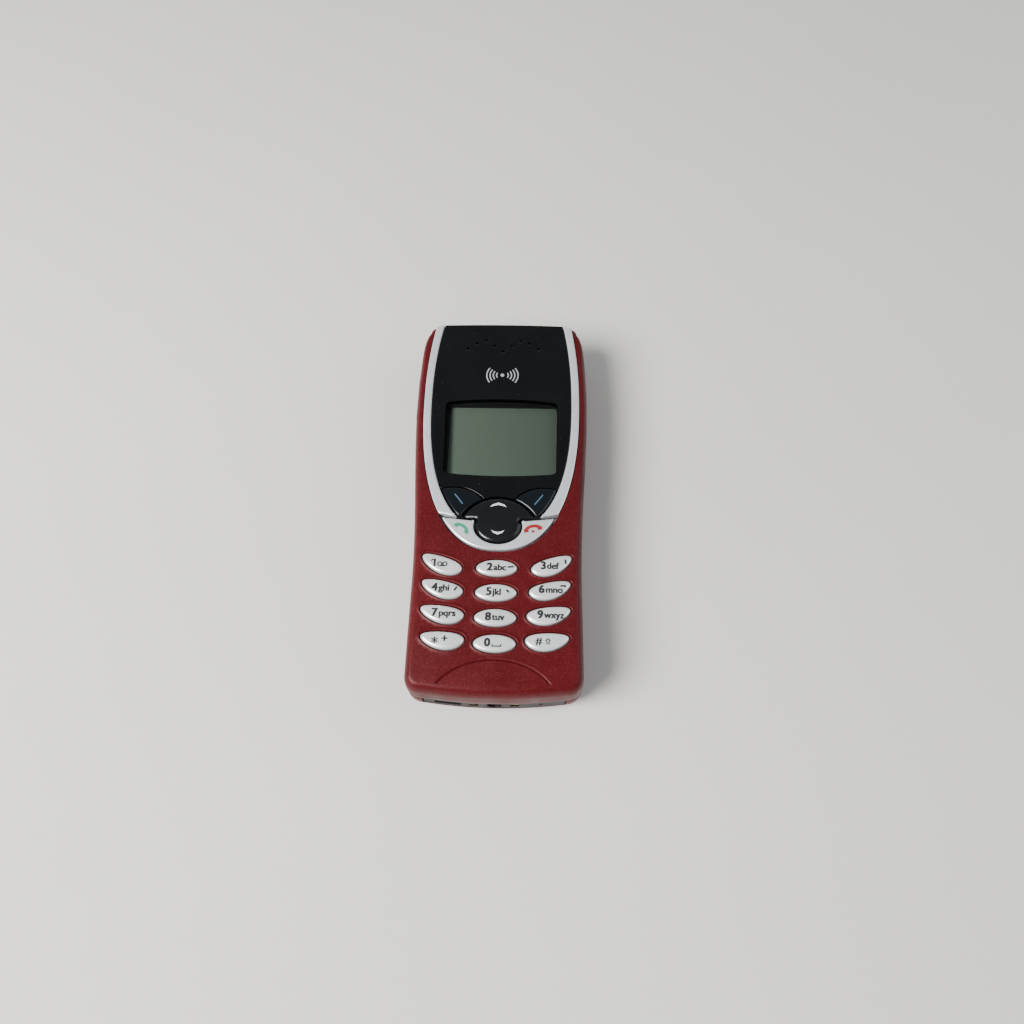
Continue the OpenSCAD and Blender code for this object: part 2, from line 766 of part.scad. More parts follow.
module back_cover() color([0.45, 0.11, 0.13]) {
    gap = 0.3;               // round the catch
    difference() {
        ringed(BACK_RINGS);
        ringed(CAVITY_RINGS);
        // the head lies open for the antenna carrier, the foot for the connector
        block([-18.4, half_length - 8, cover_wall], [18.4, half_length + 2, 20]);
        block([-16.2, -half_length - 2, 3.7], [16.2, -40, 20]);
        stadium([0, catch_y, -1], catch_size[0] + gap, catch_size[1] + gap, 5);
        stadium([0, catch_y, 0.7], catch_flange_size[0] + gap, catch_flange_size[1] + gap, 5);
    }
}

module cover_catch() color([0.4, 0.1, 0.12]) {
    difference() {
        union() {
            stadium([0, catch_y, 0.05], catch_size[0], catch_size[1], catch_step - 0.04);
            stadium([0, catch_y, catch_step], catch_flange_size[0], catch_flange_size[1], 0.3);
        }
        // three finger grooves
        for (x = [-2, 0, 2]) block([x - 0.3, catch_y - 1.5, -1], [x + 0.3, catch_y + 1.5, 0.25]);
    }
}

// ---------------------------------------------------------------- the nodes

front_cover();
side_trim(-1);  // left_trim
side_trim(1);  // right_trim
window_lens();
window_mask();
soft_key(-1);  // left_soft_key
soft_key(1);  // right_soft_key
scroll_key();
call_end_key();
for (r = [0:3], c = [0:2])
    number_key_cap(r, c);
keypad_mat();
dome_sheet();
power_key();
infrared_window();
volume_key();
display_carrier();
lcd_panel();
lcd_bezel();
light_guide();
ui_board();
main_board();
front_shield();
rear_shield();
earpiece();
earpiece_gasket();
buzzer();
vibra_motor();
vibra_weight();
microphone();
rear_frame();
chassis_screws();
antenna_carrier();
antenna_plate();
battery();
battery_contacts();
sim_holder();
sim_card();
bottom_connector();
charging_jack();
charging_pads();
accessory_contacts();
back_cover();
cover_catch();
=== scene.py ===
import json
import math

import bmesh
import bpy
import numpy as np
from mathutils import Matrix, Vector
from mathutils.geometry import delaunay_2d_cdt


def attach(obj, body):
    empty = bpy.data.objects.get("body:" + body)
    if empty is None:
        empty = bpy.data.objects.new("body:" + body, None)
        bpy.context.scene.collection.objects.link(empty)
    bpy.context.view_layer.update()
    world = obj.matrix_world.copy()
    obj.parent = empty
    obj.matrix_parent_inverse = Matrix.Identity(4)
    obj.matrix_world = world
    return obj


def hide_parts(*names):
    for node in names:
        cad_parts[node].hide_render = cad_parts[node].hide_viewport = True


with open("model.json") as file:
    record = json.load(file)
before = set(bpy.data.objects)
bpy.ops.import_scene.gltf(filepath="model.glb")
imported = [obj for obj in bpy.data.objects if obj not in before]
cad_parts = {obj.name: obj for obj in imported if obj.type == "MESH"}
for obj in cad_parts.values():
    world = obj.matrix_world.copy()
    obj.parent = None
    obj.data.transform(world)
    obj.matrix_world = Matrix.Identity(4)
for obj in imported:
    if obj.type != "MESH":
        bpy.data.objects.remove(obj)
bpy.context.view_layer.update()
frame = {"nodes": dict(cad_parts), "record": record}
MM = 0.001

# ------------------------------------------------------------ the part's own dimensions, in millimetres
HALF = 50.75                       # half the length
WIDE_Y, WAIST_Y = 28.0, -24.0      # where the body is widest and narrowest
SPLIT = 8.6                        # height of the joint between the covers
LENS_BOTTOM = -1.3                 # underside of the window, from the face
KEY_BASE = 14.0                    # top of the keypad mat
SCROLL_Y, SCROLL_R = -13.04, 10.07
SCROLL_GAP = 0.3
SOFT_X, SOFT_Y, SOFT_R = 11.0, -9.85, 9.65
LOBE_Y, LOBE_A, LOBE_B = -10.45, 5.8, 4.75
LOBE_GAP = 0.4
TRIM_OUT_Y, TRIM_IN_Y = -7.15, -8.05       # lower end of the side strips, outside and inside
CALL_TOP_Y = -8.36
HEAD_CURVE = 900                   # the head's edge falls back by x squared over this
FOOT_CURVE = 234
# one row of number keys: tip and inner end of an outer key, and the middle key's y
ROWS = [((17.3, -18.1), (8.0, -21.7), -21.2), ((17.0, -24.6), (7.5, -27.2), -27.2),
        ((16.9, -31.0), (7.0, -32.8), -33.15), ((16.5, -37.5), (6.7, -38.4), -39.1)]
KEYS = [["key_1", "key_2", "key_3"], ["key_4", "key_5", "key_6"],
        ["key_7", "key_8", "key_9"], ["key_star", "key_0", "key_hash"]]
EAR_R = 0.36
EAR = [(0, 41.2), (2.3, 43.1), (4.6, 45), (7, 44), (9.4, 42.2)]
GROOVE = (-53.0, 14.1, 10.25)      # centre y and radii of the groove at the foot
GROOVE_W = 0.26                    # its depth, and half its width
BUMPS = [(0, -24.3), (0, -30.2)]
# the lip round a number key's hole: distance from the key and height over the face
KEY_LIP = ((0.8, 0.0), (0.64, 0.08), (0.5, 0.12), (0.38, 0.06), (0.28, -0.08), (0.22, -0.3), (0.22, -1.3))


def smooth(t):
    t = np.clip(t, 0, 1)
    return t * t * (3 - 2 * t)


def body_half(y):
    """Half the body's width at y."""
    y = np.asarray(y, float)
    u = np.maximum(0, y - WIDE_Y) / (HALF - WIDE_Y)
    up = 22.25 - 1.15 * u ** 2 - 2.4 * u ** 6
    return np.where(y > WIDE_Y, up, 19.9 + 2.35 * smooth((y - WAIST_Y) / (WIDE_Y - WAIST_Y)))


def crown(x, y):
    """Height of the gently rounded front face."""
    x, y = np.asarray(x, float), np.asarray(y, float)
    z = 16.6 - 0.55 * (x / 20) ** 2
    z = z - np.where(y > WIDE_Y, 0.9 * ((y - WIDE_Y) / (HALF - WIDE_Y)) ** 2, 0)
    return z - np.where(y < -36, 0.6 * ((-36 - y) / (HALF - 36)) ** 2, 0)


def face(lift):
    """The front face, raised by lift."""
    return lambda x, y: crown(x, y) + lift


def arc(cx, cy, r, a, b, n):
    t = np.radians(np.linspace(a, b, n))
    return [(cx + r * math.cos(u), cy + r * math.sin(u)) for u in t]


def mirrored(side):
    """The closed outline whose right half, from bottom to top, is side."""
    return np.array(list(side) + [(-x, y) for x, y in reversed(side) if x > 1e-6])


def body_outline(inset):
    """The body's outline seen from the front, moved in by inset."""
    rf, rh = max(0.8, 3.6 - inset), max(0.8, 2.0 - inset * 0.8)
    fx = float(body_half(-HALF)) - inset - rf
    hx = float(body_half(HALF - inset - rh)) - inset - rh

    def foot(x):
        return -HALF + x * x / FOOT_CURVE + inset

    def head(x):
        return HALF - x * x / HEAD_CURVE - inset

    fy, hy = foot(fx) + rf, head(hx) - rh
    side = [(fx * i / 16, foot(fx * i / 16)) for i in range(16)]
    side += arc(fx, fy, rf, -82, 0, 12)
    side += [(float(body_half(y)) - inset, y) for y in np.linspace(fy, hy, 90)[1:-1]]
    side += arc(hx, hy, rh, 0, 87, 10)
    side += [(hx * i / 14, head(hx * i / 14)) for i in range(13, -1, -1)]
    return mirrored(side)


def u_side(wide, taper, reach, power, grow, top):
    """Right side of a U: a superellipse below WIDE_Y and slightly tapered sides above it."""
    side = []
    for a in np.radians(np.linspace(0, 88, 52)):
        c = math.cos(a)
        side.append(((wide + grow) * max(0, 1 - c ** power) ** (1 / power), WIDE_Y - (reach + grow) * c))
    for y in np.linspace(WIDE_Y, top, 24):
        side.append((wide + grow - taper * ((y - WIDE_Y) / (HALF - WIDE_Y)) ** 2, y))
    return side


def opening_side(grow, top=HALF):
    return u_side(20.0, 1.7, 45.0, 2.42, grow, top)


def window_side(grow, top=HALF):
    return u_side(18.0, 1.85, 40.0, 2.5, grow, top)


def half_at(side, y):
    """The x of a side at height y."""
    xs, ys = zip(*side)
    return float(np.interp(y, ys, xs))


def number_key(r, c, grow):
    """Outline of the number key in row r and column c, widened by grow."""
    tip, end, mid_y = ROWS[r]
    out = []
    for i in range(72):
        t = math.radians(i * 5)
        if c == 1:
            out.append(((4.75 + grow) * math.cos(t), mid_y + (2 + grow) * math.sin(t)))
            continue
        tip_at, end_at = np.array(tip), np.array(end)
        mid, along = (tip_at + end_at) / 2, (end_at - tip_at) / 2
        n = np.linalg.norm(along)
        u = along / n
        v = np.array((-u[1], u[0]))
        w = (2 + grow) * math.sin(t) * (1 + 0.14 * math.cos(t))
        p = mid + u * ((n + grow) * math.cos(t)) + v * (w + 0.6 * math.sin(t) ** 2)
        out.append(((c - 1) * p[0], p[1]))
    out = np.array(out)
    return out if area(out) > 0 else out[::-1]


def key_centre(r, c):
    tip, end, mid_y = ROWS[r]
    return (0, mid_y) if c == 1 else ((c - 1) * (tip[0] + end[0]) / 2, (tip[1] + end[1]) / 2 - 0.3)


def ring_at(x, y, r):
    """A small circle as a closed outline."""
    return np.array(arc(x, y, r, 0, 345, 24))


def area(p):
    x, y = p[:, 0], p[:, 1]
    return 0.5 * float(np.sum(x * np.roll(y, -1) - y * np.roll(x, -1)))


def counterclockwise(p):
    return p[::-1] if area(p) < 0 else p


def resample(p, step):
    """The closed outline p with points about a step apart, its corners kept."""
    out = []
    for i in range(len(p)):
        a, b = p[i], p[(i + 1) % len(p)]
        n = max(1, int(math.ceil(np.linalg.norm(b - a) / step)))
        out += [a + (b - a) * k / n for k in range(n)]
    return np.array(out)


def offset(p, d):
    """Closed outline p moved outwards by d, mitred at corners."""
    s = 1 if area(p) > 0 else -1
    e = np.roll(p, -1, 0) - p
    e /= np.maximum(np.linalg.norm(e, axis=1), 1e-9)[:, None]
    n = np.stack([e[:, 1], -e[:, 0]], 1) * s
    m = n + np.roll(n, 1, 0)
    m /= np.maximum(np.linalg.norm(m, axis=1), 1e-9)[:, None]
    c = np.clip(np.sum(m * n, 1), 0.45, 1)
    return p + m * (d / c)[:, None]


# ------------------------------------------------------------ mesh building

def inside(points, loops):
    """Which points lie inside the loops, by the even-odd rule."""
    x, y = points[:, 0:1], points[:, 1:2]
    odd = np.zeros(len(points), bool)
    for p in loops:
        q = np.roll(p, -1, 0)
        cross = (p[:, 1] > y) != (q[:, 1] > y)
        dy = np.where(np.abs(q[:, 1] - p[:, 1]) < 1e-12, 1e-12, q[:, 1] - p[:, 1])
        hit = cross & (x < (q[:, 0] - p[:, 0]) * (y - p[:, 1]) / dy + p[:, 0])
        odd ^= (hit.sum(1) % 2).astype(bool)
    return odd


def fill(loops, step, extra=(), lines=()):
    """Triangles over the region between the loops: 2-D points and faces."""
    pts, edges = [], []
    for p in list(loops) + list(lines):
        n, k = len(pts), len(p)
        pts += [tuple(q) for q in p]
        edges += [(n + i, n + (i + 1) % k) for i in range(k)]
    edge_pts = np.array(pts)
    lo, hi = loops[0].min(0), loops[0].max(0)
    grid = []
    for j, y in enumerate(np.arange(lo[1], hi[1], step * 0.87)):
        for x in np.arange(lo[0] + (j % 2) * step / 2, hi[0], step):
            grid.append((x, y))
    if len(extra):
        grid = [g for g in grid if np.min(np.hypot(*(extra - g).T)) > step * 0.45]
        grid += [tuple(e) for e in extra]
    grid = np.array(grid) if grid else np.zeros((0, 2))
    if len(grid):
        grid = grid[inside(grid, loops)]
    if len(grid):
        near = np.array([np.min(np.hypot(*(edge_pts - g).T)) for g in grid])
        grid = grid[near > min(step * 0.4, 0.12)]
    pts += [tuple(g) for g in grid]
    v, _, f, *_ = delaunay_2d_cdt([Vector(p) for p in pts], edges, [], 0, 1e-6)
    v = np.array([tuple(q) for q in v])
    f = [t for t in f if len(t) == 3]
    mid = np.array([(v[a] + v[b] + v[c]) / 3 for a, b, c in f])
    keep = inside(mid, loops)
    return v, [t for t, k in zip(f, keep) if k]


def z_of(z, p):
    """Heights at the points p, where z is a number or a function of x and y."""
    return np.broadcast_to(z(p[:, 0], p[:, 1]) if callable(z) else z, len(p))


def shell(name, loops, step=0.9, extra=(), lines=(), top_z=None, sharp=32):
    """A closed solid from loops of (outline, z) rings, each from the edge of the top face to the bottom's."""
    bm = bmesh.new()
    for k, flip in ((0, False), (-1, True)):
        rings = [loop[k][0] for loop in loops]
        v, f = fill(rings, step if not flip else step * 2.5, extra if not flip else (), lines)
        z = z_of(top_z if top_z and not flip else loops[0][k][1], v)
        made = [bm.verts.new((x * MM, y * MM, h * MM)) for (x, y), h in zip(v, z)]
        for t in f:
            bm.faces.new([made[i] for i in (reversed(t) if flip else t)])
    for loop in loops:
        made = []
        for p, z in loop:
            made.append([bm.verts.new((x * MM, y * MM, h * MM)) for (x, y), h in zip(p, z_of(z, p))])
        for a, b in zip(made, made[1:]):
            n = len(a)
            for i in range(n):
                bm.faces.new((a[i], b[i], b[(i + 1) % n], a[(i + 1) % n]))
    bmesh.ops.remove_doubles(bm, verts=bm.verts, dist=2e-6)
    bmesh.ops.recalc_face_normals(bm, faces=bm.faces)
    me = bpy.data.meshes.new(name)
    bm.to_mesh(me)
    bm.free()
    return finish_mesh(name, me, sharp)


def shade(me, sharp):
    """Smooth shading, with edges steeper than sharp degrees kept sharp."""
    for p in me.polygons:
        p.use_smooth = True
    me.set_sharp_from_angle(angle=math.radians(sharp))


def finish_mesh(name, me, sharp=32):
    shade(me, sharp)
    o = bpy.data.objects.new(name, me)
    bpy.context.scene.collection.objects.link(o)
    return o


def cut(o, cutters, sharp=32):
    """The object with prisms (outline, low z, high z) taken out of it."""
    tools = []
    for p, a, b in cutters:
        p = np.array(p, float)
        tool = shell(o.name + "_cut", [[(p, b), (p, a)]], step=500, sharp=30)
        m = o.modifiers.new("cut", "BOOLEAN")
        m.operation, m.solver, m.object = "DIFFERENCE", "EXACT", tool
        tools.append(tool)
    dg = bpy.context.evaluated_depsgraph_get()
    me = bpy.data.meshes.new_from_object(o.evaluated_get(dg), depsgraph=dg)
    o.modifiers.clear()
    o.data = me
    for t in tools:
        bpy.data.objects.remove(t, do_unlink=True)
    shade(me, sharp)
    return o


def lowered(top, d):
    """The surface top, moved down by d."""
    return lambda x, y: top(x, y) - d


def rounded(outline_at, run, drop, top, n=7):
    """Rings of an edge that rounds off: outline_at(inset) gives the outline so far in from the edge."""
    return [(outline_at(run * (1 - math.sin(t))), lowered(top, drop * (1 - math.cos(t))))
            for t in np.radians(np.linspace(0, 90, n))]


def rect(x0, y0, x1, y1):
    return [(x0, y0), (x1, y0), (x1, y1), (x0, y1)]


# ------------------------------------------------------------ materials

def material(name, color, rough=0.5, metal=0.0, coat=0.0, coat_rough=0.08, spread=0.0, spread_scale=60,
             grain=0.0, grain_scale=2500, rough_spread=0.08, rough_scale=180, flake=0.0, scratch=0.0,
             brushed=None, spec=0.5, wear=None, dust=0.0):
    """A Principled material with noise in its colour, roughness and normal."""
    m = bpy.data.materials.new(name)
    m.use_nodes = True
    nt = m.node_tree
    N, L = nt.nodes, nt.links
    bsdf = N["Principled BSDF"]
    bsdf.inputs["Base Color"].default_value = (*color, 1)
    bsdf.inputs["Metallic"].default_value = metal
    bsdf.inputs["Roughness"].default_value = rough
    bsdf.inputs["Specular IOR Level"].default_value = spec
    bsdf.inputs["Coat Weight"].default_value = coat
    bsdf.inputs["Coat Roughness"].default_value = coat_rough
    coord = N.new("ShaderNodeTexCoord")

    def noise(scale, detail=3.0, stretch=None):
        t = N.new("ShaderNodeTexNoise")
        t.inputs["Scale"].default_value = scale
        t.inputs["Detail"].default_value = detail
        if stretch:
            mp = N.new("ShaderNodeMapping")
            mp.inputs["Scale"].default_value = stretch
            L.new(coord.outputs["Object"], mp.inputs["Vector"])
            L.new(mp.outputs["Vector"], t.inputs["Vector"])
        else:
            L.new(coord.outputs["Object"], t.inputs["Vector"])
        return t.outputs["Fac"]

    def ranged(value, a, b, lo, hi):
        r = N.new("ShaderNodeMapRange")
        r.inputs["From Min"].default_value = a
        r.inputs["From Max"].default_value = b
        r.inputs["To Min"].default_value = lo
        r.inputs["To Max"].default_value = hi
        L.new(value, r.inputs["Value"])
        return r.outputs["Result"]

    def mixed(fac, a, b):
        x = N.new("ShaderNodeMix")
        x.data_type = "RGBA"
        L.new(fac, x.inputs["Factor"])
        for i, q in ((6, a), (7, b)):
            if hasattr(q, "links"):
                L.new(q, x.inputs[i])
            else:
                x.inputs[i].default_value = (*q, 1)
        return x.outputs[2]

    tint = None
    if spread:
        tint = mixed(ranged(noise(spread_scale, 4), 0.35, 0.65, 0, 1),
                     tuple(c * (1 - spread) for c in color), tuple(min(1, c * (1 + spread)) for c in color))
    if flake:
        cell = N.new("ShaderNodeTexVoronoi")
        cell.inputs["Scale"].default_value = 6500
        L.new(coord.outputs["Object"], cell.inputs["Vector"])
        bright = N.new("ShaderNodeSeparateColor")
        L.new(cell.outputs["Color"], bright.inputs["Color"])
        tint = mixed(ranged(bright.outputs[0], 0.72, 1.0, 0, flake), tint if tint is not None else color,
                     tuple(min(1, c * 2.4 + 0.016) for c in color))
    if wear:
        geo = N.new("ShaderNodeNewGeometry")
        edge = ranged(geo.outputs["Pointiness"], 0.53, 0.62, 0, 1)
        times = N.new("ShaderNodeMath")
        times.operation = "MULTIPLY"
        L.new(edge, times.inputs[0])
        L.new(ranged(noise(700, 5), 0.45, 0.62, 0, 1), times.inputs[1])
        tint = mixed(times.outputs[0], tint if tint is not None else color, wear)
    if dust:
        specks = ranged(noise(2600, 2), 0.70, 0.78, 0, dust)
        tint = mixed(specks, tint if tint is not None else color, (0.55, 0.55, 0.52))
    if tint is not None:
        L.new(tint, bsdf.inputs["Base Color"])
    smoothest, roughest = max(0.02, rough - rough_spread), min(1, rough + rough_spread)
    L.new(ranged(noise(rough_scale, 5), 0.3, 0.7, smoothest, roughest), bsdf.inputs["Roughness"])
    bumps = []
    if grain:
        bumps.append((noise(grain_scale, 2), grain, 0.00003))
    if scratch:
        bumps.append((ranged(noise(900, 6, (1, 0.06, 1)), 0.62, 0.7, 0, 1), scratch, 0.00002))
    if brushed:
        bumps.append((noise(1600, 3, brushed), 0.25, 0.00002))
    normal = None
    for height, strength, dist in bumps:
        b = N.new("ShaderNodeBump")
        b.inputs["Strength"].default_value = strength
        b.inputs["Distance"].default_value = dist
        L.new(height, b.inputs["Height"])
        if normal is not None:
            L.new(normal, b.inputs["Normal"])
        normal = b.outputs["Normal"]
    if normal is not None:
        L.new(normal, bsdf.inputs["Normal"])
    return m


RED_PAINT = dict(color=(0.072, 0.0034, 0.0052), rough=0.46, metal=0.15, coat=0.06, coat_rough=0.3,
                 spread=0.10, spread_scale=45, grain=0.4, grain_scale=3600, flake=0.5, scratch=0.2, spec=0.16)
RED = material("red_lacquer", wear=(0.19, 0.03, 0.03), **RED_PAINT)
RED_SATIN = material("red_satin", **RED_PAINT)      # for small parts, whose every edge would look worn
SILVER = material("silver_satin", (0.78, 0.80, 0.84), rough=0.28, metal=0.55, coat=0.15, coat_rough=0.2,
                  spread=0.06, spread_scale=80, grain=0.55, grain_scale=3200, flake=0.2,
                  wear=(0.36, 0.36, 0.37), scratch=0.25)
KEYCAP = material("keycap_silver", (0.85, 0.87, 0.88), rough=0.3, metal=0.52, coat=0.25, coat_rough=0.15,
                  spread=0.05, spread_scale=120, grain=0.35, grain_scale=4200, flake=0.25)
BLACK = material("window_black", (0.0028, 0.003, 0.0036), rough=0.10, spec=0.24, coat=0.05, coat_rough=0.03,
                 spread=0.2, rough_spread=0.05, scratch=0.5, dust=0.06)
SMOKE = material("smoke_key", (0.0028, 0.0044, 0.0064), rough=0.16, spec=0.28, coat=0.14, coat_rough=0.05,
                 spread=0.2, rough_spread=0.06, scratch=0.3, grain=0.06)
ROCKER = material("rocker_black", (0.004, 0.0048, 0.0064), rough=0.25, spec=0.34, coat=0.18, coat_rough=0.08,
                  spread=0.15, rough_spread=0.07, grain=0.12, scratch=0.2)
PRINT = material("print_black", (0.030, 0.029, 0.029), rough=0.6, spread=0.15, grain=0.2)
INK = material("ink_dark", (0.005, 0.006, 0.008), rough=0.6, spread=0.15, spread_scale=900)
INK_WHITE = material("ink_white", (0.62, 0.66, 0.68), rough=0.5, spread=0.06, spread_scale=900)
INK_GREY = material("ink_grey", (0.33, 0.34, 0.36), rough=0.4, spread=0.08, spread_scale=900)
INK_GREEN = material("ink_green", (0.018, 0.24, 0.13), rough=0.5, spread=0.08, spread_scale=900)
INK_RED = material("ink_red", (0.26, 0.012, 0.014), rough=0.5, spread=0.08, spread_scale=900)
INK_BLUE = material("ink_blue", (0.055, 0.13, 0.21), rough=0.5, spread=0.08, spread_scale=900)
LCD = material("lcd_green", (0.212, 0.268, 0.218), rough=0.4, coat=0.1, coat_rough=0.1, spread=0.025,
               spread_scale=40, grain=0.1, dust=0.05)


def clear_pane(name, share=None):
    """Clear plastic: reflections over what is below, by Fresnel's law or in a fixed share."""
    m = bpy.data.materials.new(name)
    m.use_nodes = True
    N, L = m.node_tree.nodes, m.node_tree.links
    gloss = N["Principled BSDF"]
    gloss.inputs["Base Color"].default_value = (0.01, 0.01, 0.01, 1)
    gloss.inputs["Roughness"].default_value = 0.05
    coord = N.new("ShaderNodeTexCoord")
    noise = N.new("ShaderNodeTexNoise")
    noise.inputs["Scale"].default_value = 240
    L.new(coord.outputs["Object"], noise.inputs["Vector"])
    bump = N.new("ShaderNodeBump")
    bump.inputs["Strength"].default_value = 0.02
    bump.inputs["Distance"].default_value = 0.00005
    L.new(noise.outputs["Fac"], bump.inputs["Height"])
    L.new(bump.outputs["Normal"], gloss.inputs["Normal"])
    clear = N.new("ShaderNodeBsdfTransparent")
    clear.inputs["Color"].default_value = (0.93, 0.95, 0.94, 1)
    mix = N.new("ShaderNodeMixShader")
    if share is None:
        fres = N.new("ShaderNodeFresnel")
        fres.inputs["IOR"].default_value = 1.49
        L.new(fres.outputs["Fac"], mix.inputs["Fac"])
    else:
        mix.inputs["Fac"].default_value = share
    L.new(clear.outputs["BSDF"], mix.inputs[1])
    L.new(gloss.outputs["BSDF"], mix.inputs[2])
    L.new(mix.outputs["Shader"], N["Material Output"].inputs["Surface"])
    return m


CLEAR = clear_pane("window_clear")
CLEAR_BELOW = clear_pane("window_clear_below", 0.02)


def dress(o, m, body, replaces=()):
    """Give the piece its material, the body it rides on and the CAD nodes it stands for."""
    o.data.materials.clear()
    o.data.materials.append(m)
    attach(o, body)
    if replaces:
        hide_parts(*replaces)
    return o


# ------------------------------------------------------------ covers

def face_with_marks(x, y):
    """The front face with the groove at the foot and the two pips between the middle keys."""
    x, y = np.asarray(x, float), np.asarray(y, float)
    z = crown(x, y)
    cy, a, b = GROOVE
    r = np.sqrt((x / a) ** 2 + ((y - cy) / b) ** 2)
    d = (r - 1) / np.maximum(np.hypot(x / a ** 2, (y - cy) / b ** 2) / np.maximum(r, 1e-9), 1e-9)
    fade = smooth((y + 49.6) / 1.2)
    z = z - GROOVE_W * np.clip(1 - np.abs(d) / GROOVE_W, 0, 1) * fade
    z = z + 0.07 * np.exp(-((d - 0.5) / 0.16) ** 2) * fade
    for bx, by in BUMPS:
        z = z + 0.13 * np.exp(-((x - bx) ** 2 + (y - by) ** 2) / 0.09)
    return z


def head_share(y):
    """0 along the body, 1 at the head, where the front cover's edge is tighter."""
    return smooth((np.asarray(y, float) - 36) / 11)


def build_front():
    edge, run, fall = 0.1, 1.8, 3.0     # the rounded edge: where it ends, its width and its drop
    rings = []
    for t in np.radians(np.linspace(0, 90, 9)):
        inset, drop = edge + run * (1 - math.sin(t)), fall * (1 - math.cos(t))
        wide, tight = body_outline(inset), body_outline(edge + (inset - edge) * 0.8)
        k = head_share(wide[:, 1])[:, None]
        rings.append((wide * (1 - k) + tight * k,
                      lambda x, y, d=drop: crown(x, y) - d * (1 - 0.68 * head_share(y))))
    # down the outside, round the rim at the split, and up the inside
    rings += [(body_outline(inset), z) for inset, z in (
        (0.0, 10.4), (0.06, 8.9), (0.16, SPLIT + 0.06), (0.3, SPLIT), (1.3, SPLIT), (1.3, 13.2), (1.85, 13.3),
        (1.9, face(-1.3)))]
    loops = [rings]
    for r in range(4):
        for c in range(3):
            loops.append([(number_key(r, c, g), face(z)) for g, z in KEY_LIP])
    cy, a, b = GROOVE
    extra = []
    for d in (-0.4, -GROOVE_W, -0.13, 0, 0.13, GROOVE_W, 0.4, 0.55, 0.75):
        for t in np.radians(np.linspace(8, 172, 120)):
            extra.append(((a + d) * math.cos(t), cy + (b + d) * math.sin(t)))
    for bx, by in BUMPS:
        extra += [(bx + q * math.cos(t), by + q * math.sin(t)) for q in (0.12, 0.25, 0.4, 0.6)
                  for t in np.linspace(0, 2 * math.pi, 12, endpoint=False)] + [(bx, by)]
    extra = np.array([e for e in extra if e[1] > -48.6 + 0.0045 * e[0] ** 2])
    o = shell("front_shell", loops, step=0.95, extra=extra, top_z=face_with_marks)
    opening = mirrored(opening_side(0.15, HALF + 2) + [(0, HALF + 2)])
    head_window = rect(-18.2, HALF - 3, 18.2, HALF + 1.5)
    volume_slot = rect(-22.6, WIDE_Y - 6.3, -20, WIDE_Y + 6.3)
    o = cut(o, [(opening, 13.0, 20), (head_window, 10.6, 20), (volume_slot, 9.8, 13.2)])
    return dress(o, RED, "phone", ["front_cover"])


def build_back():
    def steps(pairs):
        return [(body_outline(inset), z) for z, inset in pairs]

    def pill(r):
        """Outline of the catch's hole, of radius r at its ends."""
        return np.array(arc(2, 18, r, -90, 90, 18) + arc(-2, 18, r, 90, 270, 18))

    outer = steps([(0, 4.3), (0.03, 3.6), (0.12, 3.0), (0.3, 2.5), (0.6, 2.0), (1.0, 1.55), (1.6, 1.08),
                   (2.4, 0.68), (3.4, 0.34), (4.6, 0.12), (5.8, 0.03), (7.2, 0.03), (8.2, 0.08),
                   (8.45, 0.22)])
    inner = steps([(8.45, 1.4), (5.5, 1.4), (3.6, 1.8), (2.4, 2.5), (1.6, 3.6), (1.3, 4.9)])
    small, big = pill(2.5), pill(3.35)
    hole = [(offset(small, 0.2), 0), (offset(small, 0.06), 0.05), (small, 0.2), (small, 0.7), (big, 0.7),
            (big, 1.3)]
    o = shell("back_shell", [outer + inner, hole], step=2.5)
    head_opening, foot_opening = rect(-18.4, HALF - 8, 18.4, HALF + 2), rect(-16.2, -HALF - 2, 16.2, -40)
    o = cut(o, [(head_opening, 1.3, 20), (foot_opening, 3.7, 20)])
    return dress(o, RED, "back_cover", ["back_cover"])


# ------------------------------------------------------------ window, trims and keys

def window_outline():
    """The window: its lower edge runs round the scroll rocker and the soft keys."""
    top_y = HALF - 0.05
    side = window_side(-0.15, top_y)

    def lower(x):
        scroll = SCROLL_Y + math.sqrt(max(0, (SCROLL_R + SCROLL_GAP) ** 2 - x * x))
        from_soft = abs(abs(x) - SOFT_X)
        if from_soft >= 9.8:
            return scroll
        return max(scroll, SOFT_Y + math.sqrt(max(0, (SOFT_R + 0.25) ** 2 - from_soft ** 2)))

    # the window stops where the soft keys' arc meets its side
    meet = next(y for y in np.linspace(-7.9, 4, 400) if lower(half_at(side, y)) <= y)
    right = [p for p in side if p[1] > meet + 0.05]
    xm = half_at(side, meet)
    foot = [(x, lower(x)) for x in np.linspace(0, xm - 0.15, 60)]
    return mirrored(foot + right + [(x, top_y) for x in np.linspace(15, 0, 8)])


def view_outline():
    """The clear part of the window, over the display."""
    lower = [(x, 2.95 + 0.0045 * x * x) for x in np.linspace(0, 12.5, 12)]
    right = [(14.3 - 0.35 * (22 - y) / 17, y) for y in np.linspace(6.5, 22.5, 10)]
    upper = [(x, 25.55 - 0.0042 * x * x) for x in np.linspace(12.8, 0, 12)]
    return mirrored(lower + arc(12.75, 4.9, 1.2, -80, -5, 9) + right + arc(13.1, 23.6, 1.2, 0, 80, 9) + upper)


